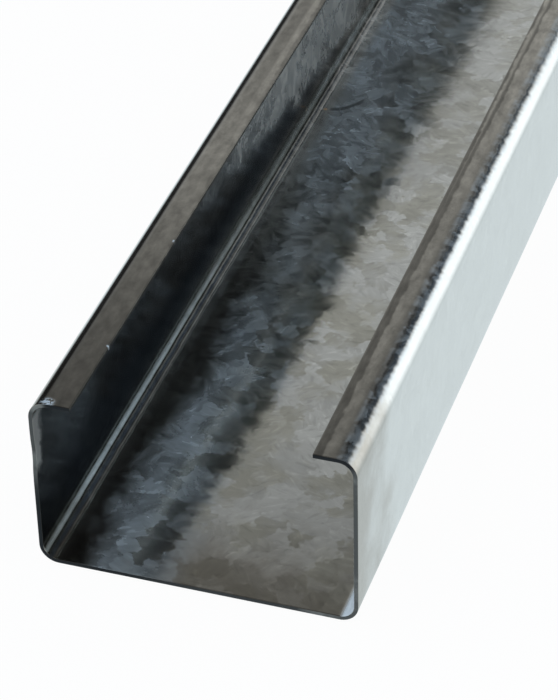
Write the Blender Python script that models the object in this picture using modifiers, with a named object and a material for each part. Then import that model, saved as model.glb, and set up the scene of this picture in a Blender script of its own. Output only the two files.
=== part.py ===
"""C purlin: one length of cold-rolled, galvanised lipped channel, lying on its web.

The web lies flat on the ground plane, the flanges stand up from it and the lips turn in
towards each other. X runs across the web, Y along the length and Z up. The origin is in
the middle of the web's back, halfway along the length.
"""

import math

import bmesh
import bpy

MM = 0.001

# Sizes of the section, over the outside of the sheet
WEB_DEPTH = 75.0 * MM
FLANGE_WIDTH = 45.0 * MM
LIP_DEPTH = 10.0 * MM
SHEET_THICKNESS = 1.0 * MM
INNER_BEND_RADIUS = 3.5 * MM

# Length of one piece of stock between its square cut ends
STOCK_LENGTH = 3000.0 * MM

# Rounding that the slitter and the shear leave on every cut edge of the sheet
EDGE_BREAK = 0.15 * MM

# Flats that a quarter-turn bend and a rounded cut edge are made of
BEND_SEGMENTS = 10
EDGE_SEGMENTS = 2

# Only edges that turn by more than this are rounded
FOLD_ANGLE = math.radians(60.0)

# Zinc coating, as seen in even light
ZINC_COLOUR = (0.47, 0.48, 0.47, 1.0)
ZINC_ROUGHNESS = 0.42


def clear_scene():
    """Take every object out of the open scene."""
    for leftover in list(bpy.data.objects):
        bpy.data.objects.remove(leftover, do_unlink=True)


def zinc_material():
    """Dull grey zinc on steel sheet."""
    material = bpy.data.materials.new("galvanised_sheet")
    material.use_nodes = True
    shader = material.node_tree.nodes["Principled BSDF"]
    shader.inputs["Base Color"].default_value = ZINC_COLOUR
    shader.inputs["Roughness"].default_value = ZINC_ROUGHNESS
    shader.inputs["Metallic"].default_value = 1.0
    return material


def half_strip():
    """Outer face of half the section, with sharp folds and no thickness.

    It runs from the middle of the web, round the foot of one flange and over its top, to
    the free edge of the lip. The fold lines and the two ends are its only edges.
    """
    side = WEB_DEPTH / 2.0
    near_end = -STOCK_LENGTH / 2.0
    outline = (
        (0.0, 0.0),
        (side, 0.0),
        (side, FLANGE_WIDTH),
        (side - LIP_DEPTH, FLANGE_WIDTH),
    )

    strip = bmesh.new()
    corners = [strip.verts.new((x, near_end, z)) for x, z in outline]
    edges = [strip.edges.new(pair) for pair in zip(corners, corners[1:])]
    swept = bmesh.ops.extrude_edge_only(strip, edges=edges)
    far_corners = [item for item in swept["geom"] if isinstance(item, bmesh.types.BMVert)]
    bmesh.ops.translate(strip, vec=(0.0, STOCK_LENGTH, 0.0), verts=far_corners)

    for face in strip.faces:
        face.smooth = True

    mesh = bpy.data.meshes.new("c_purlin")
    strip.to_mesh(mesh)
    strip.free()
    return mesh


def round_folds(purlin, name, radius, segments):
    """Round every right-angled edge that the sheet has so far."""
    rounding = purlin.modifiers.new(name, "BEVEL")
    rounding.limit_method = "ANGLE"
    rounding.angle_limit = FOLD_ANGLE
    rounding.offset_type = "OFFSET"
    rounding.width = radius
    rounding.segments = segments
    rounding.profile = 0.5


def roll_forming(purlin):
    """Mirror the half strip, round its folds and give the sheet its thickness."""
    other_half = purlin.modifiers.new("other half", "MIRROR")
    other_half.use_axis = (True, False, False)
    other_half.use_clip = True
    other_half.merge_threshold = SHEET_THICKNESS / 100.0

    # The outer face of a bend is one sheet thickness further out than its inner radius
    round_folds(purlin, "bends", INNER_BEND_RADIUS + SHEET_THICKNESS, BEND_SEGMENTS)

    # The sheet grows inwards from its outer face, so the bends stay concentric
    sheet = purlin.modifiers.new("sheet", "SOLIDIFY")
    sheet.thickness = SHEET_THICKNESS
    sheet.offset = -1.0
    sheet.use_even_offset = True

    # The cut ends and the free edges of the lips lose their corners on both faces
    round_folds(purlin, "cut edges", EDGE_BREAK, EDGE_SEGMENTS)


def main():
    clear_scene()
    stock = bpy.data.collections.new("c_purlin_stock")
    bpy.context.scene.collection.children.link(stock)

    mesh = half_strip()
    mesh.materials.append(zinc_material())
    purlin = bpy.data.objects.new("c_purlin", mesh)
    stock.objects.link(purlin)
    roll_forming(purlin)


main()
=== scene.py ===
"""Looks of a galvanised C purlin: the rolled sheet with its zinc finish, and a white studio."""

import math
from collections import namedtuple

import bmesh
import bpy
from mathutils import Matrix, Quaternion, Vector, noise


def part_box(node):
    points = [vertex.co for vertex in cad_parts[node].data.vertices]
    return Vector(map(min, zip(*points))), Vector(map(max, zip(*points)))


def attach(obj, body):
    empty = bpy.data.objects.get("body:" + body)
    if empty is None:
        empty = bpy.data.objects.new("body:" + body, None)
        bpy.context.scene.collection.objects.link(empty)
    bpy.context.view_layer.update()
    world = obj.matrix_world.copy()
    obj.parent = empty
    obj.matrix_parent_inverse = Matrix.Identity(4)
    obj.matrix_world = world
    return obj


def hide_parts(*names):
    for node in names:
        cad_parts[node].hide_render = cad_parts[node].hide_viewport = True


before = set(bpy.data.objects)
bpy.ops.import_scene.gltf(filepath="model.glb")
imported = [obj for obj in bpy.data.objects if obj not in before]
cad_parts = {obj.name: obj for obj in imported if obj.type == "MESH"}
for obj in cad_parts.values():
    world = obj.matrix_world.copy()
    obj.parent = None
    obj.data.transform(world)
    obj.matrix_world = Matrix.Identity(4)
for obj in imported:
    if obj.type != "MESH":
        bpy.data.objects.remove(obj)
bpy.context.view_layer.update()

bl_info = {
    "name": "Galvanised C purlin",
    "version": (1, 0, 0),
    "blender": (4, 5, 0),
    "location": "View3D > Sidebar > Purlin",
    "description": "Builds a length of galvanised C purlin and a white studio around it",
    "category": "Object",
}

MM = 0.001
NODE = "c_purlin"
BODY = "root"
STRIP = "strip_place"

# The purlin's box gives the sizes over the outside of the section
BOX_LOW, BOX_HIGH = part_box(NODE)
WEB_DEPTH = BOX_HIGH.x - BOX_LOW.x
FLANGE_WIDTH = BOX_HIGH.z - BOX_LOW.z
NEAR_END = BOX_LOW.y
FAR_END = BOX_HIGH.y

ACROSS = Vector((1.0, 0.0, 0.0))
ALONG = Vector((0.0, 1.0, 0.0))
UPWARD = Vector((0.0, 0.0, 1.0))

# Mesh: segments of the rounded edges, and the spacing of the cuts, closer near the camera
FOLD_SEGMENTS = 14
RIM_SEGMENTS = 2
WEB_BAND = 5.0 * MM
FLANGE_BAND = 3.0 * MM
SHORT_BAY = 4.0 * MM
LONG_BAY = 18.0 * MM
DETAILED_LENGTH = 320.0 * MM

# Soft ripples, and the knock in the left flange's near end
RIPPLES_PER_METRE = 35.0
DENT_HEIGHT = 30.0 * MM
DENT_RADIUS = 5.0 * MM

# Scales of the noises, in features a metre
WANDER_SCALE = 300.0
FEATHER_SCALE = 270.0
STROKE_SCALE = 760.0
LEAN_SCALE = 160.0
CLOUD_SCALE = 60.0
SPECKLE_SCALE = 1500.0
LIP_BLOTCH_SCALE = 270.0
RAGGED_BEND_SCALE = 420.0

# Ranges across the flat strip, counted from the web's middle, the left side negative
MIDLINE = (-1.0 * MM, 1.0 * MM)
LOWER_BEND = (33.0 * MM, 39.3 * MM)
LEFT_UPPER_BEND = (-80.0 * MM, -76.0 * MM)
LEFT_FOLD = (-33.0 * MM, -30.0 * MM)
FLANGE_LIT_BLOOM_RIM = (-67.0 * MM, -60.0 * MM)
HAZE_LEFT_RIM = (-30.5 * MM, -22.0 * MM)
HAZE_MIDDLE = (-23.0 * MM, -15.0 * MM)
HAZE_LEFT_PART = (-17.0 * MM, -7.0 * MM)
HAZE_RIGHT_RIM = (-9.0 * MM, -2.0 * MM)
HAZE_SHADE_LEFT_RIM = (-33.0 * MM, -26.0 * MM)
WARM_RIM = (-18.0 * MM, -6.0 * MM)
SCUFF_TOP = (-77.0 * MM, -74.0 * MM)
SCUFF_BOTTOM = (-63.0 * MM, -58.0 * MM)
WHITE_RUST_GLINT_BOTTOM = (32.8 * MM, 34.4 * MM)
WHITE_RUST_GLINT_TOP = (56.0 * MM, 62.0 * MM)
CROWN_RIM = (18.0 * MM, 33.0 * MM)

# Ranges across the cut edge of an end, where smeared zinc begins or stops
SMEAR_LEFT_TOP = (-82.0 * MM, -80.0 * MM)
SMEAR_LEFT_BOTTOM = (-70.0 * MM, -50.0 * MM)
SMEAR_WEB = (-20.0 * MM, 4.0 * MM)
SMEAR_RIGHT = (20.0 * MM, 34.0 * MM)
SMEAR_BEFORE_LIP = (76.0 * MM, 79.0 * MM)

# Ranges in from the strip's slit edges
LIP_OUTER_PART = (3.4 * MM, 5.2 * MM)
LIP_BEND_SHADE = (4.6 * MM, 6.2 * MM)
UPPER_BEND_STARTS = (4.5 * MM, 6.0 * MM)
UPPER_BEND_ENDS = (7.5 * MM, 9.5 * MM)
FOLD_SHADE_STARTS = (10.0 * MM, 14.0 * MM)

# Ranges in from the nearer cut end
END_LIT_BLOOM_STARTS = (25.0 * MM, 60.0 * MM)
END_PATINA_FADES = (30.0 * MM, 62.0 * MM)

# Stretches from the near end inwards, over which parts of the finish and of its painted light and
# shade change
HAZE_SHADE_STARTS = (45.0 * MM, 120.0 * MM)
LEAVES_SHOW = (40.0 * MM, 120.0 * MM)
FLANGE_LIGHTENS = (50.0 * MM, 100.0 * MM)
ROUGHENS = (50.0 * MM, 260.0 * MM)
FOLD_PAINTED_STRIP_SHOWS = (20.0 * MM, 220.0 * MM)
LIP_PALES = (10.0 * MM, 110.0 * MM)
LIP_DULLS = (100.0 * MM, 180.0 * MM)
LIP_LINES_PART = (80.0 * MM, 180.0 * MM)
LIT_BLOOM_GATHERS = (85.0 * MM, 170.0 * MM)
LIT_BLOOM_WIDENS = (85.0 * MM, 220.0 * MM)
CROWN_STARTS = (0.0, 95.0 * MM)
CROWN_GROWS = (130.0 * MM, 260.0 * MM)
DEEP = (120.0 * MM, 240.0 * MM)
HAZE_SPREADS = (120.0 * MM, 260.0 * MM)
FOOT_DARKENS = (120.0 * MM, 260.0 * MM)
WHITE_RUST_GLINT_THINS = (120.0 * MM, 270.0 * MM)

# Places along the length with their core and reach
HAZE_DRAWS_BACK = (105.0 * MM, 25.0 * MM, 60.0 * MM)
HAZE_WAIST = (130.0 * MM, 10.0 * MM, 55.0 * MM)

# Lines and bands along the strip: middle, core and reach, across it or in from its slit edges
FOLD_PAINTED_STRIP = (-32.6 * MM, 0.8 * MM, 1.8 * MM)
BEND_DARK_LINE = (-36.0 * MM, 0.5 * MM, 1.5 * MM)
BEND_GLINT_LINE = (-37.7 * MM, 0.8 * MM, 1.6 * MM)
PAINTED_PATCH_BEND = (80.2 * MM, 1.0 * MM, 2.2 * MM)
FLANGE_FOOT = (43.0 * MM, 4.0 * MM, 14.0 * MM)
BURR = (-79.0 * MM, 1.0 * MM, 2.5 * MM)
LIP_DARK_LINE = 1.1 * MM
LIP_PALE_LINE = (1.8 * MM, 0.4 * MM, 1.3 * MM)

# How much patina the lips and the ends have
LIP_PATINA = 0.72
END_PATINA = 0.74

# Small marks: place across the flat strip, distance from the near end, and radius
NICKS = (
    (-87.0 * MM, 67.0 * MM, 0.7 * MM),
    (-87.0 * MM, 24.0 * MM, 0.7 * MM),
    (-81.5 * MM, 0.8 * MM, 2.2 * MM),
)
RUST_SPOT = (-33.0 * MM, 200.0 * MM, 0.9 * MM)

# Scrape that curves away from the left lower fold: start, curve in 1/m, and where it ends across
HOOK_START = (-31.7 * MM, 200.5 * MM)
HOOK_CURVE = 115.0
HOOK_END = (7.2 * MM, 8.2 * MM)

# Longer side of the photograph, in pixels
IMAGE_HEIGHT = 700


class PurlinSizes(bpy.types.PropertyGroup):
    """Sizes of the rolled sheet."""

    lip_depth: bpy.props.FloatProperty(
        name="Lip depth",
        description="Depth of the turned-in lip over the outside of the sheet",
        default=10.0 * MM,
        unit="LENGTH",
    )
    sheet_thickness: bpy.props.FloatProperty(
        name="Sheet thickness",
        description="Thickness of the steel with its zinc",
        default=1.0 * MM,
        unit="LENGTH",
    )
    inner_bend_radius: bpy.props.FloatProperty(
        name="Inner bend radius",
        description="Radius on the inside of the four bends",
        default=3.5 * MM,
        unit="LENGTH",
    )
    edge_break: bpy.props.FloatProperty(
        name="Edge rounding",
        description="Rounding of the cut ends and of the lips' free edges",
        default=0.12 * MM,
        unit="LENGTH",
    )
    ripple: bpy.props.FloatProperty(
        name="Ripple",
        description="How far the flats wander in from their plane",
        default=0.08 * MM,
        unit="LENGTH",
    )
    dent_depth: bpy.props.FloatProperty(
        name="Dent depth",
        description="Depth of the knock at the near end of the left flange",
        default=0.25 * MM,
        unit="LENGTH",
    )


class PurlinColours(bpy.types.PropertyGroup):
    """Colours of the finish."""

    zinc: bpy.props.FloatVectorProperty(
        name="Zinc",
        description="Clean zinc",
        subtype="COLOR",
        default=(0.74, 0.77, 0.75),
        min=0.0,
        max=1.0,
    )
    warm_zinc: bpy.props.FloatVectorProperty(
        name="Warm zinc",
        description="Clean zinc with a warm tinge",
        subtype="COLOR",
        default=(0.635, 0.645, 0.575),
        min=0.0,
        max=1.0,
    )
    patina: bpy.props.FloatVectorProperty(
        name="Patina",
        description="Dull brown-grey zinc near the cut ends and on the lips",
        subtype="COLOR",
        default=(0.322, 0.297, 0.243),
        min=0.0,
        max=1.0,
    )
    # Bloom: thin bluish storage bloom, also the colour of the haze, strip and patches painted as
    # reflected light
    bloom_and_haze: bpy.props.FloatVectorProperty(
        name="Bloom",
        description="Thin bluish storage bloom on the zinc",
        subtype="COLOR",
        default=(0.60, 0.67, 0.72),
        min=0.0,
        max=1.0,
    )
    # Dry bloom: pale bloom, also painted high on the left flange's inner face as light falling
    # there
    dry_bloom_and_light: bpy.props.FloatVectorProperty(
        name="Dry bloom",
        description="Pale dry bloom on the left flange's inner face",
        subtype="COLOR",
        default=(0.82, 0.79, 0.72),
        min=0.0,
        max=1.0,
    )
    # White rust: thick pale bloom, painted bright as the highlight at the near end's right lower
    # bend, whose reflection is the pale line in the left lower bend
    white_rust_and_glint: bpy.props.FloatVectorProperty(
        name="White rust",
        description="Thick pale storage bloom low on the right flange's inner face",
        subtype="COLOR",
        default=(0.92, 0.95, 0.96),
        min=0.0,
        max=1.0,
    )
    rust: bpy.props.FloatVectorProperty(
        name="Rust",
        description="Small rust spots",
        subtype="COLOR",
        default=(0.42, 0.27, 0.15),
        min=0.0,
        max=1.0,
    )
    cut_steel: bpy.props.FloatVectorProperty(
        name="Cut steel",
        description="Bare sheared edge of the sheet",
        subtype="COLOR",
        default=(0.020, 0.023, 0.026),
        min=0.0,
        max=1.0,
    )


# Camera, fitted to the straight edges and the near end in the photograph
AIM_FROM_NEAR_END = Vector((8.2 * MM, 36.1 * MM, 42.8 * MM))
CAMERA_DISTANCE = 663.0 * MM
CAMERA_AZIMUTH = math.radians(18.99)
CAMERA_ELEVATION = math.radians(36.34)
CAMERA_ROLL = math.radians(-1.40)
FOCAL_PIXELS = 2983.0
SENSOR_WIDTH = 36.0
CLIP_RANGE = (0.01, 200.0)

# Floor: half its width, how far it lies below the sheet, and how much of it shows as plain white
FLOOR_REACH = 60.0
FLOOR_DROP = 0.2 * MM
FLOOR_GLOW = 0.96

WHITE = (1.0, 1.0, 1.0, 1.0)
BLACK = (0.0, 0.0, 0.0, 1.0)

# Lightness of the studio's walls by height: 0 at the horizon, 1 straight overhead
LEFT_WALL = (
    (0.0, 1.0), (0.40, 1.0), (0.46, 0.64), (0.50, 0.53), (0.56, 0.50),
    (0.60, 0.41), (0.66, 0.25), (0.71, 0.09), (1.0, 0.2),
)
RIGHT_WALL = (
    (0.0, 1.0), (0.40, 0.6), (0.46, 0.36), (0.50, 0.26),
    (0.535, 0.16), (0.575, 0.05), (0.62, 0.01), (1.0, 0.2),
)

# Colours of the studio's cards, of the ground round the floor, and of the light on dull places
BLACK_CARD = (0.02, 0.02, 0.02, 1.0)
BLUE_CARD = (0.03, 0.04, 0.055, 1.0)
BRIGHT_CARD = (1.6, 1.65, 1.7, 1.0)
GROUND = (0.80, 0.87, 0.90, 1.0)
SIDE_LIGHT = (0.9, 0.95, 1.0, 1.0)
TOP_LIGHT = (0.6, 0.72, 0.85, 1.0)


def socket_in(group, name, kind, default):
    """Add a named input to a node group."""
    made = group.interface.new_socket(name=name, in_out="INPUT", socket_type=kind)
    made.default_value = default


def socket_out(group, name, kind):
    """Add a named output to a node group."""
    group.interface.new_socket(name=name, in_out="OUTPUT", socket_type=kind)


class Wiring:
    """Short calls that add nodes to one node tree."""

    def __init__(self, tree):
        self.tree = tree
        self.column = 0

    def node(self, kind, **settings):
        made = self.tree.nodes.new(kind)
        made.location = (self.column * 40.0, 0.0)
        self.column += 1
        for name, value in settings.items():
            setattr(made, name, value)
        return made

    def link(self, source, target):
        self.tree.links.new(source, target)

    def fill(self, socket, value):
        if isinstance(value, bpy.types.NodeSocket):
            self.link(value, socket)
        else:
            socket.default_value = value

    def math(self, operation, first, second=0.0, third=0.0, clamp=False):
        made = self.node("ShaderNodeMath", operation=operation, use_clamp=clamp)
        for socket, value in zip(made.inputs, (first, second, third)):
            self.fill(socket, value)
        return made.outputs[0]

    def vector(self, operation, first, second=(0.0, 0.0, 0.0), scale=None):
        made = self.node("ShaderNodeVectorMath", operation=operation)
        self.fill(made.inputs[0], first)
        self.fill(made.inputs[1], second)
        if scale is not None:
            self.fill(made.inputs["Scale"], scale)
        return made.outputs["Value"] if operation in ("DOT_PRODUCT", "LENGTH") else made.outputs[0]

    def split(self, vector):
        made = self.node("ShaderNodeSeparateXYZ")
        self.fill(made.inputs[0], vector)
        return made.outputs

    def join(self, x, y, z):
        made = self.node("ShaderNodeCombineXYZ")
        for socket, value in zip(made.inputs, (x, y, z)):
            self.fill(socket, value)
        return made.outputs[0]

    def noise(self, vector, scale, detail=2.0, roughness=0.5, distortion=0.0):
        made = self.node("ShaderNodeTexNoise")
        self.fill(made.inputs["Vector"], vector)
        made.inputs["Scale"].default_value = scale
        made.inputs["Detail"].default_value = detail
        made.inputs["Roughness"].default_value = roughness
        made.inputs["Distortion"].default_value = distortion
        return made

    def between(self, value, low, high):
        """0 below low, 1 above high, smooth in between."""
        made = self.node("ShaderNodeMapRange", interpolation_type="SMOOTHSTEP")
        self.fill(made.inputs["Value"], value)
        self.fill(made.inputs["From Min"], low)
        self.fill(made.inputs["From Max"], high)
        return made.outputs["Result"]

    def inverse(self, value):
        """One less the value."""
        return self.math("SUBTRACT", 1.0, value)

    def below(self, value, low, high):
        """1 below low, 0 above high, smooth in between."""
        return self.inverse(self.between(value, low, high))

    def band(self, value, centre, core, reach):
        """1 within core of the centre, fading to 0 at reach."""
        return self.below(self.math("ABSOLUTE", self.math("SUBTRACT", value, centre)), core, reach)

    def times_plus(self, value, factor, base):
        """Value times factor, plus base."""
        return self.math("MULTIPLY_ADD", value, factor, base)

    def product(self, *values):
        result = values[0]
        for value in values[1:]:
            result = self.math("MULTIPLY", result, value)
        return result

    def largest(self, *values):
        result = values[0]
        for value in values[1:]:
            result = self.math("MAXIMUM", result, value)
        return result

    def mix(self, factor, first, second, blend="MIX"):
        made = self.node("ShaderNodeMix", data_type="RGBA", blend_type=blend)
        self.fill(made.inputs["Factor"], factor)
        self.fill(made.inputs[6], first)
        self.fill(made.inputs[7], second)
        return made.outputs[2]

    def blend(self, factor, first, second):
        made = self.node("ShaderNodeMix", data_type="FLOAT")
        self.fill(made.inputs["Factor"], factor)
        self.fill(made.inputs[2], first)
        self.fill(made.inputs[3], second)
        return made.outputs[0]


def opaque(colour):
    """Colour with full alpha."""
    return (*colour, 1.0)


def spangle_group():
    """Zinc crystals: each with a shade, feathers that run its own way, and a lean."""
    group = bpy.data.node_groups.new("zinc_spangle", "ShaderNodeTree")
    socket_in(group, "Place", "NodeSocketVector", (0.0, 0.0, 0.0))
    socket_in(group, "Crystals per metre", "NodeSocketFloat", 180.0)
    socket_in(group, "Lean", "NodeSocketFloat", 0.045)
    socket_out(group, "Shade", "NodeSocketFloat")
    socket_out(group, "Feathers", "NodeSocketFloat")
    socket_out(group, "Strokes", "NodeSocketFloat")
    socket_out(group, "Tilt", "NodeSocketVector")
    wire = Wiring(group)
    inside = wire.node("NodeGroupInput")
    place = inside.outputs["Place"]
    per_metre = inside.outputs["Crystals per metre"]

    # Ragged borders: the place wanders before it is cut into crystals
    wander = wire.noise(place, WANDER_SCALE, detail=2.0, roughness=0.5)
    shift = wire.vector("SUBTRACT", wander.outputs["Color"], (0.5, 0.5, 0.5))
    shift = wire.vector("SCALE", shift, scale=9.0 * MM)
    wandered = wire.vector("ADD", place, shift)

    def crystals(feature):
        cells = wire.node("ShaderNodeTexVoronoi", feature=feature, voronoi_dimensions="2D")
        wire.link(wandered, cells.inputs["Vector"])
        wire.link(per_metre, cells.inputs["Scale"])
        return cells

    growth, _, _ = wire.split(crystals("F1").outputs["Color"])
    soft = crystals("SMOOTH_F1")
    soft.inputs["Smoothness"].default_value = 0.45
    red, green, blue = wire.split(soft.outputs["Color"])

    # Feathers and fine strokes inside a crystal follow the way it grew
    turned = wire.node("ShaderNodeVectorRotate", rotation_type="Z_AXIS")
    wire.link(place, turned.inputs["Vector"])
    wire.link(wire.times_plus(growth, 2.6, -1.3), turned.inputs["Angle"])
    drawn = wire.vector("MULTIPLY", turned.outputs[0], (0.42, 1.0, 1.0))
    feathers = wire.noise(drawn, FEATHER_SCALE, detail=2.5, roughness=0.5, distortion=0.7)
    drawn = wire.vector("MULTIPLY", turned.outputs[0], (0.30, 1.0, 1.0))
    strokes = wire.noise(drawn, STROKE_SCALE, detail=1.5, roughness=0.5, distortion=0.4)

    # The surface leans by soft patches, by each feather, and more in a few odd crystals
    stretched = wire.vector("MULTIPLY", place, (0.8, 1.2, 1.0))
    patches = wire.noise(stretched, LEAN_SCALE, detail=3.5, roughness=0.6)
    tilt = wire.vector("SUBTRACT", patches.outputs["Color"], (0.5, 0.5, 0.5))
    stroke = wire.math("MULTIPLY", wire.math("SUBTRACT", feathers.outputs["Fac"], 0.5), 0.8)
    tilt = wire.vector("ADD", tilt, wire.join(stroke, 0.0, 0.0))
    odd = wire.product(wire.between(blue, 0.58, 0.72), wire.math("SUBTRACT", red, 0.5), 0.9)
    tilt = wire.vector("ADD", tilt, wire.join(odd, 0.0, 0.0))
    tilt = wire.vector("MULTIPLY", tilt, (1.0, 0.35, 0.0))
    tilt = wire.vector("SCALE", tilt, scale=inside.outputs["Lean"])

    outside = wire.node("NodeGroupOutput")
    wire.link(green, outside.inputs["Shade"])
    wire.link(feathers.outputs["Fac"], outside.inputs["Feathers"])
    wire.link(strokes.outputs["Fac"], outside.inputs["Strokes"])
    wire.link(tilt, outside.inputs["Tilt"])
    return group


def grime_group():
    """Soft cloudy stains and fine speckle, the same on sheet and on cut edges."""
    group = bpy.data.node_groups.new("stain_and_speckle", "ShaderNodeTree")
    socket_in(group, "Place", "NodeSocketVector", (0.0, 0.0, 0.0))
    socket_out(group, "Cloud", "NodeSocketFloat")
    socket_out(group, "Speckle", "NodeSocketFloat")
    wire = Wiring(group)
    inside = wire.node("NodeGroupInput")
    cloud = wire.noise(inside.outputs["Place"], CLOUD_SCALE, detail=5.0, roughness=0.6)
    speckle = wire.noise(inside.outputs["Place"], SPECKLE_SCALE, detail=2.0, roughness=0.6)
    outside = wire.node("NodeGroupOutput")
    wire.link(cloud.outputs["Fac"], outside.inputs["Cloud"])
    wire.link(speckle.outputs["Fac"], outside.inputs["Speckle"])
    return group


def use_group(wire, group, place):
    """Place a node group in a material and feed it the place on the strip."""
    made = wire.node("ShaderNodeGroup", node_tree=group)
    wire.link(place, made.inputs["Place"])
    return made


def new_material(name):
    """Material with an empty tree, its wiring and its Principled BSDF."""
    material = bpy.data.materials.new(name)
    material.use_nodes = True
    tree = material.node_tree
    shader = tree.nodes["Principled BSDF"]
    return material, Wiring(tree), shader


def strip_place(wire):
    """Place on the flat strip that the section was rolled from: across, along, depth."""
    return wire.node("ShaderNodeAttribute", attribute_name=STRIP).outputs["Vector"]


Surface = namedtuple(
    "Surface",
    "place across right on_web inside show from_near deep from_edge to_end "
    "shade feathers fray feathery strokes tilt cloud uneven speckle",
)


def sheet_surface(wire, sizes, spangle, grime):
    """Sockets that the parts of the finish share: where a point lies on the strip, and its zinc."""
    across, along, depth = wire.split(strip_place(wire))
    place = wire.join(across, along, 0.0)
    thickness = sizes.sheet_thickness
    inside = wire.between(depth, 0.4 * thickness, 0.8 * thickness)
    from_near = wire.math("SUBTRACT", along, NEAR_END)
    crystals = use_group(wire, spangle, place).outputs
    stains = use_group(wire, grime, place).outputs
    return Surface(
        place=place,
        across=across,
        right=wire.between(across, *MIDLINE),
        on_web=wire.below(wire.math("ABSOLUTE", across), *LOWER_BEND),
        # The sheet's inner face, where the crystals show fully
        inside=inside,
        show=wire.blend(inside, 0.25, 1.0),
        # Distance from the near end, from the strip's slit edges, and from the nearer cut end
        from_near=from_near,
        deep=wire.between(from_near, *DEEP),
        from_edge=wire.math("SUBTRACT", half_strip(sizes), wire.math("ABSOLUTE", across)),
        to_end=wire.math("SUBTRACT", FAR_END, wire.math("ABSOLUTE", along)),
        shade=crystals["Shade"],
        feathers=crystals["Feathers"],
        fray=wire.math("SUBTRACT", crystals["Feathers"], 0.5),
        feathery=wire.between(crystals["Feathers"], 0.34, 0.66),
        strokes=crystals["Strokes"],
        tilt=crystals["Tilt"],
        cloud=stains["Cloud"],
        uneven=wire.math("SUBTRACT", stains["Cloud"], 0.5),
        speckle=stains["Speckle"],
    )


def fold_middle(sizes):
    """Place across the strip of the middle of a lower bend."""
    outer, bend = bend_reach(sizes)
    return WEB_DEPTH / 2.0 - outer + bend / 2.0


def flange_bloom_and_light(wire, at):
    """Dry bloom on the left flange and its lip, set high on the flange as painted light where light
    falls, reaching lower down the flange further in.
    """
    wavering = wire.times_plus(wire.between(at.from_near, *LIT_BLOOM_WIDENS), -21.0 * MM, at.across)
    wavering = wire.times_plus(at.uneven, 20.0 * MM, wavering)
    on_flange = wire.between(at.across, *LEFT_UPPER_BEND)
    high = wire.product(wire.below(wavering, *FLANGE_LIT_BLOOM_RIM), wire.blend(on_flange, 0.36, 1.0))
    broken = wire.blend(wire.between(at.shade, 0.30, 0.70), 0.42, 0.66)
    broken = wire.times_plus(wire.between(at.feathers, 0.42, 0.66), 0.42, broken)
    inland = wire.product(wire.between(at.to_end, *END_LIT_BLOOM_STARTS), 0.10)
    inland = wire.times_plus(wire.between(at.from_near, *LIT_BLOOM_GATHERS), 0.90, inland)
    return wire.product(high, broken, inland, at.inside)


def leaf_pattern(wire, at):
    """Feathers that show in the painted haze and strip on the web, more further in."""
    hollows = wire.blend(wire.between(at.from_near, *LEAVES_SHOW), 1.0, 0.78)
    return wire.blend(wire.between(at.feathers, 0.40, 0.60), hollows, 1.18)


def web_painted_haze(wire, at, leafy):
    """Painted reflection: bluish haze along the web's left half, standing in for light reflected
    from the left flange, and painted shade that darkens the zinc under it.
    """
    frayed = wire.times_plus(at.uneven, 16.0 * MM, at.across)
    frayed = wire.times_plus(at.fray, 4.5 * MM, frayed)

    # Further in, its left rim comes up to the fold
    rim = wire.times_plus(wire.between(at.from_near, *HAZE_SPREADS), 11.0 * MM, frayed)
    rim = wire.times_plus(wire.band(at.from_near, *HAZE_DRAWS_BACK), -2.5 * MM, rim)
    left_part = wire.below(frayed, *HAZE_LEFT_PART)
    fading = wire.math("MULTIPLY", wire.below(frayed, *HAZE_RIGHT_RIM), 0.6)
    fading = wire.times_plus(left_part, 0.4, fading)
    haze = wire.product(wire.between(rim, *HAZE_LEFT_RIM), fading)

    # Crystals show in it as blotches, most towards the web's middle, and as fine flecks
    central = wire.between(frayed, *HAZE_MIDDLE)
    blotches = wire.blend(
        wire.between(at.shade, 0.22, 0.72),
        wire.blend(central, 0.95, 0.35),
        wire.blend(central, 1.25, 1.0),
    )
    flecks = wire.product(wire.between(at.feathers, 0.60, 0.72), 0.2)
    flecks = wire.times_plus(wire.between(at.strokes, 0.55, 0.70), 0.22, flecks)

    # It is thinnest at its waist
    strength = wire.blend(wire.band(at.from_near, *HAZE_WAIST), 0.44, 0.30)
    haze = wire.product(haze, strength, leafy, at.inside, wire.math("ADD", blotches, flecks))
    # Painted shade: the zinc under the haze is darker further in
    shade_under_haze = wire.product(
        left_part,
        wire.between(at.from_near, *HAZE_SHADE_STARTS),
        at.inside,
        wire.between(at.across, *HAZE_SHADE_LEFT_RIM),
        at.on_web,
        wire.blend(wire.between(at.feathers, 0.36, 0.60), 0.80, 0.60),
    )
    return haze, shade_under_haze


def scuffed_corner(wire, at):
    """Scuffed pale patch on the left flange, tapering down from its top along the cut end."""
    reach = wire.times_plus(at.across, -0.22, -10.5 * MM)
    reach = wire.times_plus(at.fray, 6.0 * MM, reach)
    reach = wire.times_plus(at.uneven, 8.0 * MM, reach)
    return wire.product(
        wire.below(wire.math("SUBTRACT", at.from_near, reach), -2.5 * MM, 1.0 * MM),
        wire.between(at.across, *SCUFF_TOP),
        wire.below(at.across, *SCUFF_BOTTOM),
        at.inside,
        0.6,
    )


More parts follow.
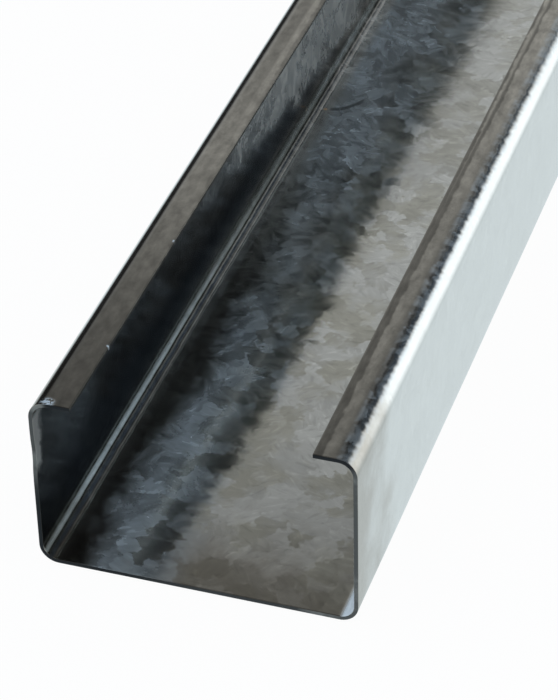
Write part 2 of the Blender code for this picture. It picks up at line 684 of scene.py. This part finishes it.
def bloom_and_light_masks(wire, at):
    """Thin bloom with painted light, thick bloom with a painted highlight low on the right flange,
    and the painted shade on the web's zinc.
    """
    leafy = leaf_pattern(wire, at)
    haze, shade_under_haze = web_painted_haze(wire, at, leafy)

    # Painted reflection: a paler strip along the web's side of the left lower fold, stronger
    # further in
    strength = wire.blend(wire.between(at.from_near, *FOLD_PAINTED_STRIP_SHOWS), 0.02, 0.24)
    strip = wire.product(wire.band(at.across, *FOLD_PAINTED_STRIP), strength, leafy, at.inside)

    # Painted light: pale patches on the outside of the right upper bend, mottling the dark
    # reflection beside its highlight
    painted_patches = wire.blend(wire.between(at.feathers, 0.40, 0.62), 0.08, 0.34)
    painted_patches = wire.product(wire.band(at.across, *PAINTED_PATCH_BEND), painted_patches, wire.inverse(at.inside))
    thin = wire.largest(flange_bloom_and_light(wire, at), haze, strip, scuffed_corner(wire, at), painted_patches)

    # Thick bloom, also a painted highlight at the near end's right lower bend, thins out along the
    # length
    thick = wire.product(
        wire.between(at.across, *WHITE_RUST_GLINT_BOTTOM),
        wire.below(at.across, *WHITE_RUST_GLINT_TOP),
        at.inside,
        wire.blend(wire.between(at.from_near, *WHITE_RUST_GLINT_THINS), 1.0, 0.30),
    )
    return thin, thick, shade_under_haze


def lip_tone_and_shade(wire, at):
    """Lightness of the lips: blotchy, with painted shade and a painted highlight along their tips,
    dark right and pale left.
    """
    parted = wire.between(at.from_near, *LIP_LINES_PART)
    stretched = wire.vector("MULTIPLY", at.place, (1.6, 0.7, 1.0))
    blotchy = wire.noise(stretched, LIP_BLOTCH_SCALE, detail=2.5, roughness=0.55)
    blotch = wire.math("SUBTRACT", blotchy.outputs["Fac"], 0.5)
    frayed = wire.times_plus(blotch, 1.4 * MM, at.from_edge)

    # One broad dark line of painted shade near the end, which parts into two thin ones further in
    apart = wire.blend(parted, 0.4 * MM, 0.8 * MM)
    core = wire.blend(parted, 0.25 * MM, 0.1 * MM)
    reach = wire.blend(parted, 0.8 * MM, 0.6 * MM)
    line = wire.math("ABSOLUTE", wire.math("SUBTRACT", frayed, LIP_DARK_LINE))
    line = wire.times_plus(wire.band(line, apart, core, reach), -0.48, 1.0)
    # The pale line on the left lip is a painted highlight
    pale = wire.product(wire.band(frayed, *LIP_PALE_LINE), parted)
    tone = wire.blend(at.right, wire.times_plus(pale, 0.55, 1.0), line)

    # The right lip's outer part is darker near the end, with painted shade next to its bend where
    # the bend's reflection is dark
    darker = wire.blend(parted, -0.22, 0.12)
    darker = wire.product(wire.between(frayed, *LIP_OUTER_PART), at.right, darker)
    bend_shade = wire.blend(parted, -0.25, 0.0)
    bend_shade = wire.product(wire.between(frayed, *LIP_BEND_SHADE), at.right, bend_shade)
    tone = wire.product(tone, wire.math("ADD", darker, 1.0), wire.math("ADD", bend_shade, 1.0))

    # Painted shade: the left lip grows paler from its near end and then a little darker
    left = wire.blend(wire.between(at.from_near, *LIP_PALES), 0.43, 0.84)
    left = wire.product(left, wire.blend(wire.between(at.from_near, *LIP_DULLS), 1.0, 0.70))
    tone = wire.product(tone, wire.blend(at.right, left, 1.0))
    mottled = wire.times_plus(blotch, 1.2, wire.times_plus(at.speckle, 0.3, -0.15))
    return wire.product(tone, wire.math("ADD", mottled, 1.0))


def fold_painted_shade(wire, at, sizes, fold):
    """Painted shade next to the two lower folds and over the flanges, none in the bends themselves.
    """
    off_middle = wire.math("ABSOLUTE", at.across)
    in_bend = wire.band(off_middle, fold_middle(sizes), 2.0 * MM, 4.0 * MM)
    foot = wire.band(off_middle, *FLANGE_FOOT)

    # Higher up the painted shade is lighter: on the left flange further in, on the right one all
    # along
    higher = wire.blend(wire.between(at.from_near, *FLANGE_LIGHTENS), 0.98, 0.42)
    higher = wire.blend(at.right, higher, 0.42)
    flange = wire.product(
        wire.largest(foot, higher),
        wire.inverse(at.on_web),
        at.inside,
        wire.between(at.from_edge, *FOLD_SHADE_STARTS),
        wire.blend(wire.between(at.from_near, *FOOT_DARKENS), 0.72, 0.95),
    )
    # Painted shade on the web beside the lower folds, added to that on the flanges
    fold_shade = wire.times_plus(wire.product(fold, at.on_web), 0.35, flange)
    return wire.product(fold_shade, wire.inverse(in_bend))


def sheet_lightness(wire, at, sizes, fold, lip_mask, shade_under_haze):
    """Lightness of the zinc: crystals, the lips' tone with its painted shade, and painted shade, a
    painted highlight and a painted dark line along the folds.
    """
    spread = wire.times_plus(at.shade, 0.20, wire.math("MULTIPLY", at.feathery, 0.12))
    spread = wire.times_plus(wire.between(at.strokes, 0.56, 0.72), 0.13, spread)
    spread = wire.times_plus(wire.below(at.strokes, 0.28, 0.42), -0.12, spread)
    lightness = wire.times_plus(wire.math("SUBTRACT", spread, 0.15), at.show, 0.84)

    # A painted highlight and a painted dark line run along the left lower bend, the dark one darker
    # further in
    bend_glint = wire.product(wire.band(at.across, *BEND_GLINT_LINE), at.inside)
    bend_dark_line = wire.blend(at.deep, 0.15, 0.75)
    bend_dark_line = wire.product(wire.band(at.across, *BEND_DARK_LINE), bend_dark_line, at.inside)
    return wire.product(
        lightness,
        wire.blend(lip_mask, 1.0, lip_tone_and_shade(wire, at)),
        wire.inverse(fold_painted_shade(wire, at, sizes, fold)),
        wire.times_plus(wire.product(at.deep, at.on_web), -0.14, 1.0),
        wire.times_plus(bend_glint, 0.4, 1.0),
        wire.inverse(bend_dark_line),
        wire.inverse(shade_under_haze),
    )


def spot(wire, at, mark):
    """1 at a round mark, fading to 0 at its rim."""
    mark_across, mark_along, radius = mark
    out = wire.math("SUBTRACT", at.across, mark_across)
    along = wire.math("SUBTRACT", at.from_near, mark_along)
    return wire.below(wire.vector("LENGTH", wire.join(out, along, 0.0)), 0.4 * radius, radius)


def hook_mark(wire, at):
    """Dark scrape that curves away from the left lower fold."""
    start_across, start_along = HOOK_START
    out = wire.math("SUBTRACT", at.across, start_across)
    curve = wire.times_plus(wire.product(out, out), HOOK_CURVE, start_along)
    line = wire.math("ABSOLUTE", wire.math("SUBTRACT", at.from_near, curve))
    stroke = wire.below(line, 0.5 * MM, wire.times_plus(out, 0.12, 1.0 * MM))
    return wire.product(stroke, wire.between(out, -0.5 * MM, 0.5 * MM), wire.below(out, *HOOK_END))


def sheet_lean(wire, at, fold):
    """How far the surface leans away from its true face."""
    # The flats bow in softly next to the lower folds, and the web has a slight crown
    bow = wire.math("MULTIPLY", fold, -0.05)
    bow_x = wire.product(bow, wire.math("SIGN", at.across), at.on_web)
    bow_z = wire.product(bow, wire.math("SUBTRACT", at.on_web, 1.0))
    middle = wire.below(wire.math("ABSOLUTE", at.across), *CROWN_RIM)
    crown = wire.times_plus(wire.between(at.from_near, *CROWN_GROWS), -0.016, -0.036)
    crown = wire.times_plus(wire.below(at.from_near, *CROWN_STARTS), 0.041, crown)
    crown = wire.product(middle, crown)
    tilt = wire.vector("SCALE", at.tilt, scale=at.show)
    leans = wire.vector("ADD", tilt, wire.join(wire.math("ADD", crown, bow_x), 0.0, bow_z))

    # The outside of the right upper bend is uneven, so that its highlight has a ragged side
    stretched = wire.vector("MULTIPLY", at.place, (0.6, 1.0, 1.0))
    ragged = wire.noise(stretched, RAGGED_BEND_SCALE, detail=2.5, roughness=0.6)
    upper_bend = wire.product(
        wire.between(at.from_edge, *UPPER_BEND_STARTS),
        wire.below(at.from_edge, *UPPER_BEND_ENDS),
        wire.between(at.across, 0.0, 1.0 * MM),
        wire.inverse(at.inside),
    )
    rough_bend = wire.product(wire.times_plus(ragged.outputs["Fac"], 0.38, -0.01), upper_bend)
    return wire.vector("ADD", leans, wire.join(rough_bend, 0.0, 0.0))


def sheet_material(colours, sizes, spangle, grime):
    """Spangled zinc, cleaner along the middle and duller on the lips and near the ends, with
    painted light and shade.
    """
    material, wire, shader = new_material("galvanised_sheet")
    at = sheet_surface(wire, sizes, spangle, grime)
    near_folds = wire.band(
        wire.math("ABSOLUTE", at.across), fold_middle(sizes), 3.0 * MM, 15.0 * MM
    )
    fold = wire.product(near_folds, at.inside)

    # Brown-grey patina on the lips, and in a cloudy border next to each cut end
    lip = sizes.lip_depth - sizes.inner_bend_radius
    lip_mask = wire.below(at.from_edge, lip - 1.0 * MM, lip + 1.5 * MM)
    cloudy = wire.times_plus(at.cloud, 60.0 * MM, at.to_end)
    end_mask = wire.below(cloudy, *END_PATINA_FADES)
    dull = wire.largest(
        wire.math("MULTIPLY", lip_mask, LIP_PATINA),
        wire.math("MULTIPLY", end_mask, END_PATINA),
    )

    # The darker a crystal is, the warmer its grey, from the web's middle to the right
    warmth = wire.product(
        wire.between(wire.times_plus(at.shade, -0.30, at.cloud), 0.26, 0.50),
        wire.between(at.across, *WARM_RIM),
        at.inside,
        wire.blend(at.deep, 1.0, 0.6),
    )
    base = wire.mix(warmth, opaque(colours.zinc), opaque(colours.warm_zinc))
    base = wire.mix(dull, base, opaque(colours.patina))
    thin, thick, shade_under_haze = bloom_and_light_masks(wire, at)
    lightness = sheet_lightness(wire, at, sizes, fold, lip_mask, shade_under_haze)
    base = wire.mix(1.0, base, wire.join(lightness, lightness, lightness), blend="MULTIPLY")

    # Bloom with its painted light and highlight, nicks, rust and the scrape lie over the zinc
    broken = wire.between(at.speckle, 0.40, 0.52)
    for nick in NICKS:
        thin = wire.largest(thin, wire.product(spot(wire, at, nick), broken))
    rusty = wire.product(spot(wire, at, RUST_SPOT), at.inside)
    on_left = wire.product(
        wire.between(at.across, *LEFT_UPPER_BEND),
        wire.below(at.across, *LEFT_FOLD),
    )
    bloom_and_haze = wire.mix(on_left, opaque(colours.bloom_and_haze), opaque(colours.dry_bloom_and_light))
    base = wire.mix(thin, base, bloom_and_haze)
    base = wire.mix(thick, base, opaque(colours.white_rust_and_glint))
    base = wire.mix(rusty, base, opaque(colours.rust))
    base = wire.mix(wire.product(hook_mark(wire, at), at.inside, 0.6), base, BLACK)
    wire.link(base, shader.inputs["Base Color"])

    # Reflections are sharpest next to the near end, and softer where it is dull, bloomed or painted
    # pale
    rough = wire.times_plus(at.feathery, 0.04, 0.10)
    rough = wire.times_plus(wire.between(at.from_near, *ROUGHENS), 0.05, rough)
    rough = wire.times_plus(dull, 0.05, rough)
    matt = wire.between(wire.largest(thin, thick, rusty), 0.4, 1.0)
    wire.link(wire.blend(matt, rough, 0.5), shader.inputs["Roughness"])
    metallic = wire.blend(wire.largest(thick, rusty), wire.blend(thin, 0.99, 0.34), 0.04)
    wire.link(metallic, shader.inputs["Metallic"])

    normal = wire.node("ShaderNodeNewGeometry").outputs["Normal"]
    leaning = wire.vector("NORMALIZE", wire.vector("ADD", normal, sheet_lean(wire, at, fold)))
    bump = wire.node("ShaderNodeBump")
    bump.inputs["Strength"].default_value = 1.0
    bump.inputs["Distance"].default_value = 0.002 * MM
    wire.link(at.feathers, bump.inputs["Height"])
    wire.link(leaning, bump.inputs["Normal"])
    wire.link(bump.outputs["Normal"], shader.inputs["Normal"])
    return material


def edge_material(colours, grime):
    """Sheared steel edge with smeared zinc."""
    material, wire, shader = new_material("cut_edge")
    place = strip_place(wire)
    stains = use_group(wire, grime, place)
    across, _, _ = wire.split(place)
    smear = wire.between(stains.outputs["Cloud"], 0.50, 0.62)

    # Smeared zinc is palest high on the left flange and towards the right flange
    left_top = wire.below(across, *SMEAR_LEFT_BOTTOM)
    left_top = wire.product(left_top, wire.between(across, *SMEAR_LEFT_TOP))
    before_lip = wire.below(across, *SMEAR_BEFORE_LIP)
    bottom = wire.product(wire.between(across, *SMEAR_WEB), before_lip)
    right = wire.product(wire.between(across, *SMEAR_RIGHT), before_lip)
    burr = wire.band(across, *BURR)
    pale = wire.times_plus(left_top, 0.16, wire.math("MULTIPLY", bottom, 0.07))
    pale = wire.times_plus(right, 0.11, wire.times_plus(burr, 0.25, pale))
    pale = wire.product(pale, wire.times_plus(smear, 0.9, 0.55))
    base = wire.mix(pale, opaque(colours.cut_steel), opaque(colours.zinc))
    wire.link(base, shader.inputs["Base Color"])
    shader.inputs["Roughness"].default_value = 0.45
    shader.inputs["Metallic"].default_value = 1.0
    bump = wire.node("ShaderNodeBump")
    bump.inputs["Distance"].default_value = 0.02 * MM
    wire.link(stains.outputs["Speckle"], bump.inputs["Height"])
    wire.link(bump.outputs["Normal"], shader.inputs["Normal"])
    return material


def bend_reach(sizes):
    """Outer radius of a bend, and its length along the middle of the sheet."""
    outer = sizes.inner_bend_radius + sizes.sheet_thickness
    return outer, (outer - sizes.sheet_thickness / 2.0) * math.pi / 2.0


def half_strip(sizes):
    """Half the width of the flat strip that the section is rolled from."""
    outer, bend = bend_reach(sizes)
    web = WEB_DEPTH / 2.0 - outer
    flange = FLANGE_WIDTH - 2.0 * outer
    return web + bend + flange + bend + sizes.lip_depth - outer


def unrolled(sizes, x, z):
    """Distance across the flat strip, from its middle, of a place on the section."""
    outer, bend = bend_reach(sizes)
    web = WEB_DEPTH / 2.0 - outer
    flange = FLANGE_WIDTH - 2.0 * outer
    out = abs(x) - web
    if out <= 0.0 and z < FLANGE_WIDTH / 2.0:
        reach = abs(x)
    elif z < outer:
        reach = web + bend * math.atan2(out, outer - z) / (math.pi / 2.0)
    elif z <= FLANGE_WIDTH - outer:
        reach = web + bend + z - outer
    elif out > 0.0:
        turned = math.atan2(z - (FLANGE_WIDTH - outer), out) / (math.pi / 2.0)
        reach = web + bend + flange + bend * turned
    else:
        reach = web + bend + flange + bend - out
    return math.copysign(reach, x)


def sheet_depth(sizes, x, z):
    """How far a place on the section lies in from the outer face of the sheet."""
    outer, _ = bend_reach(sizes)
    web = WEB_DEPTH / 2.0 - outer
    out = max(0.0, abs(x) - web)
    if z < outer:
        return outer - math.hypot(out, outer - z)
    if z > FLANGE_WIDTH - outer:
        return outer - math.hypot(out, z - (FLANGE_WIDTH - outer))
    return WEB_DEPTH / 2.0 - abs(x)


def cut_across(strip, axis, places):
    """Cut the whole strip by planes square to an axis."""
    for place in places:
        point = axis * place
        geometry = strip.verts[:] + strip.edges[:] + strip.faces[:]
        bmesh.ops.bisect_plane(strip, geom=geometry, dist=1e-7, plane_co=point, plane_no=axis)


def spaced(low, high, step):
    """Places strictly between low and high, evenly spaced by about a step."""
    count = max(1, round((high - low) / step))
    return [low + (high - low) * i / count for i in range(1, count)]


def fold_strip(sizes):
    """Outer face of the section with sharp folds: lip, flange, web, flange, lip."""
    side = WEB_DEPTH / 2.0
    outline = (
        (side - sizes.lip_depth, FLANGE_WIDTH),
        (side, FLANGE_WIDTH),
        (side, 0.0),
        (-side, 0.0),
        (-side, FLANGE_WIDTH),
        (-side + sizes.lip_depth, FLANGE_WIDTH),
    )
    strip = bmesh.new()
    corners = [strip.verts.new((x, NEAR_END, z)) for x, z in outline]
    edges = [strip.edges.new(pair) for pair in zip(corners, corners[1:])]
    swept = bmesh.ops.extrude_edge_only(strip, edges=edges)
    far_corners = [item for item in swept["geom"] if isinstance(item, bmesh.types.BMVert)]
    bmesh.ops.translate(strip, vec=(0.0, FAR_END - NEAR_END, 0.0), verts=far_corners)
    return strip


def round_edges(strip, edges, radius, segments):
    """Round edges with arcs."""
    return bmesh.ops.bevel(
        strip,
        geom=edges,
        offset=radius,
        offset_type="OFFSET",
        affect="EDGES",
        segments=segments,
        profile=0.5,
        material=-1,
        clamp_overlap=True,
    )


def wander_in(strip, sizes):
    """Let the faces wander inward a little, and knock the left flange's near end in."""
    strip.normal_update()
    for point in strip.verts:
        wander = 0.5 + 0.5 * noise.noise(point.co * RIPPLES_PER_METRE)
        depth = 0.0
        if point.co.x < -0.4 * WEB_DEPTH:
            up = (point.co.z - DENT_HEIGHT) / DENT_RADIUS
            inland = (point.co.y - NEAR_END) / (2.0 * DENT_RADIUS)
            knock = math.hypot(up, inland)
            depth = sizes.dent_depth * math.exp(-2.0 * knock * knock)
        point.co -= point.normal * (sizes.ripple * wander + depth)


def build_sheet(sizes, materials):
    """The rolled strip as a mesh with rounded bends, real thickness and soft cut edges."""
    strip = fold_strip(sizes)
    folds = [edge for edge in strip.edges if len(edge.link_faces) == 2]
    round_edges(strip, folds, sizes.inner_bend_radius + sizes.sheet_thickness, FOLD_SEGMENTS)
    bmesh.ops.recalc_face_normals(strip, faces=strip.faces[:])
    bottom = min(strip.faces, key=lambda face: face.calc_center_median().z)
    if bottom.normal.z > 0.0:
        bmesh.ops.reverse_faces(strip, faces=strip.faces[:])

    # Flats are cut into narrow bands, and the length into bays
    side = WEB_DEPTH / 2.0
    outer, _ = bend_reach(sizes)
    cut_across(strip, ACROSS, spaced(outer - side, side - outer, WEB_BAND))
    cut_across(strip, UPWARD, spaced(outer, FLANGE_WIDTH - outer, FLANGE_BAND))
    detailed = NEAR_END + DETAILED_LENGTH
    cut_across(strip, ALONG, spaced(NEAR_END, detailed, SHORT_BAY))
    cut_across(strip, ALONG, [detailed] + spaced(detailed, FAR_END, LONG_BAY))

    # A narrow band next to each free edge keeps the flats flat up to their rounded rims
    rim = 2.5 * sizes.edge_break
    lip_edge = side - sizes.lip_depth + rim
    cut_across(strip, ACROSS, (-lip_edge, lip_edge))
    cut_across(strip, ALONG, (NEAR_END + rim, FAR_END - rim))

    wander_in(strip, sizes)
    bmesh.ops.solidify(strip, geom=strip.faces[:], thickness=sizes.sheet_thickness)
    for face in strip.faces:
        if abs(face.normal.y) > 0.7:
            face.material_index = 1
    rims = [edge for edge in strip.edges if edge.calc_face_angle(0.0) > math.radians(60.0)]
    round_edges(strip, rims, sizes.edge_break, RIM_SEGMENTS)
    place = strip.verts.layers.float_vector.new(STRIP)
    for point in strip.verts:
        x, y, z = point.co
        point[place] = (unrolled(sizes, x, z), y, sheet_depth(sizes, x, z))
    for face in strip.faces:
        face.smooth = True

    mesh = bpy.data.meshes.new("purlin_sheet")
    strip.to_mesh(mesh)
    strip.free()
    for material in materials:
        mesh.materials.append(material)
    return mesh


class PURLIN_OT_sheet(bpy.types.Operator):
    """Roll the galvanised sheet into its section"""

    bl_idname = "purlin.sheet"
    bl_label = "Rolled sheet"

    def execute(self, context):
        sizes = context.scene.purlin_sizes
        colours = context.scene.purlin_colours
        spangle = spangle_group()
        grime = grime_group()
        materials = (sheet_material(colours, sizes, spangle, grime), edge_material(colours, grime))
        piece = bpy.data.objects.new("purlin_sheet", build_sheet(sizes, materials))
        context.scene.collection.objects.link(piece)
        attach(piece, BODY)
        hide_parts(NODE)
        return {"FINISHED"}


def make_world(scene):
    """Walls that are white low down and dark overhead, and cards behind; white to the camera."""
    world = bpy.data.worlds.new("studio")
    scene.world = world
    world.use_nodes = True
    wire = Wiring(world.node_tree)
    background = world.node_tree.nodes["Background"]
    heading = wire.node("ShaderNodeTexCoord").outputs["Generated"]
    sideways, forwards, upwards = wire.split(heading)

    def ramp(value, stops):
        made = wire.node("ShaderNodeValToRGB")
        wire.fill(made.inputs[0], value)
        points = made.color_ramp.elements
        for index, (place, level) in enumerate(stops):
            point = points[index] if index < 2 else points.new(place)
            point.position = place
            point.color = (level, level, level, 1.0)
        return made.outputs["Color"]

    left = ramp(upwards, LEFT_WALL)
    right = ramp(upwards, RIGHT_WALL)
    studio = wire.mix(wire.between(sideways, 0.04, 0.24), left, right)
    behind = wire.between(forwards, 0.1, 0.3)

    # Black card low on the left, behind
    slant = wire.times_plus(wire.between(upwards, 0.0, 0.4), 0.25, sideways)
    card = wire.product(wire.below(slant, -0.42, -0.04), behind, wire.below(upwards, 0.7, 0.8))
    studio = wire.mix(card, studio, BLACK_CARD)

    # Dark blue card high on the right, behind
    card = wire.product(wire.between(sideways, 0.275, 0.31), wire.below(upwards, 0.53, 0.56))
    card = wire.largest(card, wire.between(sideways, 0.29, 0.36))
    card = wire.product(card, behind, wire.between(upwards, 0.34, 0.42))
    studio = wire.mix(card, studio, BLUE_CARD)

    # The ground round the floor is a very pale blue-grey
    studio = wire.mix(wire.below(upwards, -0.30, -0.05), studio, GROUND)

    # Bright card low on the right, behind
    card = wire.product(wire.between(sideways, 0.36, 0.54), behind)
    card = wire.product(card, wire.between(upwards, -0.60, 0.05), wire.below(upwards, 0.22, 0.38))
    studio = wire.mix(card, studio, BRIGHT_CARD)

    # White to the camera, and an even light for dull places
    path = wire.node("ShaderNodeLightPath")
    colour = wire.mix(path.outputs["Is Camera Ray"], studio, WHITE)
    overhead = wire.mix(wire.between(upwards, 0.1, 0.5), SIDE_LIGHT, TOP_LIGHT)
    colour = wire.mix(path.outputs["Is Diffuse Ray"], colour, overhead)
    wire.link(colour, background.inputs["Color"])


def make_floor(scene):
    """Pale floor that keeps a soft shadow."""
    grid = bmesh.new()
    bmesh.ops.create_grid(grid, x_segments=1, y_segments=1, size=FLOOR_REACH)
    mesh = bpy.data.meshes.new("floor")
    grid.to_mesh(mesh)
    grid.free()
    floor = bpy.data.objects.new("floor", mesh)
    floor.location.z = -FLOOR_DROP
    floor.visible_glossy = False
    scene.collection.objects.link(floor)

    material = bpy.data.materials.new("floor")
    material.use_nodes = True
    wire = Wiring(material.node_tree)
    shader = material.node_tree.nodes["Principled BSDF"]
    shader.inputs["Base Color"].default_value = (0.95, 0.95, 0.95, 1.0)
    shader.inputs["Roughness"].default_value = 1.0
    shader.inputs["Specular IOR Level"].default_value = 0.0
    glow = wire.node("ShaderNodeEmission")
    glow.inputs["Color"].default_value = WHITE
    path = wire.node("ShaderNodeLightPath").outputs
    seen = wire.largest(path["Is Camera Ray"], path["Is Glossy Ray"], path["Is Transmission Ray"])
    mixed = wire.node("ShaderNodeMixShader")
    wire.link(wire.math("MULTIPLY", seen, FLOOR_GLOW), mixed.inputs[0])
    wire.link(shader.outputs[0], mixed.inputs[1])
    wire.link(glow.outputs[0], mixed.inputs[2])
    wire.link(mixed.outputs[0], material.node_tree.nodes["Material Output"].inputs["Surface"])
    mesh.materials.append(material)


def make_camera(scene):
    """Camera at the photograph's angle."""
    data = bpy.data.cameras.new("camera")
    data.sensor_fit = "AUTO"
    data.sensor_width = SENSOR_WIDTH
    data.lens = SENSOR_WIDTH * FOCAL_PIXELS / IMAGE_HEIGHT
    data.clip_start, data.clip_end = CLIP_RANGE
    camera = bpy.data.objects.new("camera", data)
    scene.collection.objects.link(camera)
    back = Vector((
        math.sin(CAMERA_AZIMUTH) * math.cos(CAMERA_ELEVATION),
        -math.cos(CAMERA_AZIMUTH) * math.cos(CAMERA_ELEVATION),
        math.sin(CAMERA_ELEVATION),
    ))
    aim = Vector((0.0, NEAR_END, 0.0)) + AIM_FROM_NEAR_END
    camera.location = aim + back * CAMERA_DISTANCE
    level = (-back).to_track_quat("-Z", "Y")
    camera.rotation_mode = "QUATERNION"
    camera.rotation_quaternion = level @ Quaternion((0.0, 0.0, 1.0), CAMERA_ROLL)
    scene.camera = camera


class PURLIN_OT_stage(bpy.types.Operator):
    """Set up the floor, the light and the camera"""

    bl_idname = "purlin.stage"
    bl_label = "Studio"

    def execute(self, context):
        scene = context.scene
        make_world(scene)
        make_floor(scene)
        make_camera(scene)
        scene.view_settings.view_transform = "Standard"
        return {"FINISHED"}


class PURLIN_PT_panel(bpy.types.Panel):
    """Lists the purlin's sizes, colours and build steps"""

    bl_idname = "PURLIN_PT_panel"
    bl_label = "C purlin"
    bl_space_type = "VIEW_3D"
    bl_region_type = "UI"
    bl_category = "Purlin"

    def draw(self, context):
        layout = self.layout
        for settings in (context.scene.purlin_sizes, context.scene.purlin_colours):
            for name in settings.__annotations__:
                layout.prop(settings, name)
        layout.operator(PURLIN_OT_sheet.bl_idname)
        layout.operator(PURLIN_OT_stage.bl_idname)


CLASSES = (PurlinSizes, PurlinColours, PURLIN_OT_sheet, PURLIN_OT_stage, PURLIN_PT_panel)


def register():
    for cls in CLASSES:
        bpy.utils.register_class(cls)
    bpy.types.Scene.purlin_sizes = bpy.props.PointerProperty(type=PurlinSizes)
    bpy.types.Scene.purlin_colours = bpy.props.PointerProperty(type=PurlinColours)


def unregister():
    del bpy.types.Scene.purlin_colours
    del bpy.types.Scene.purlin_sizes
    for cls in reversed(CLASSES):
        bpy.utils.unregister_class(cls)


def main():
    register()
    bpy.ops.purlin.sheet()
    bpy.ops.purlin.stage()


if __name__ == "__main__":
    main()
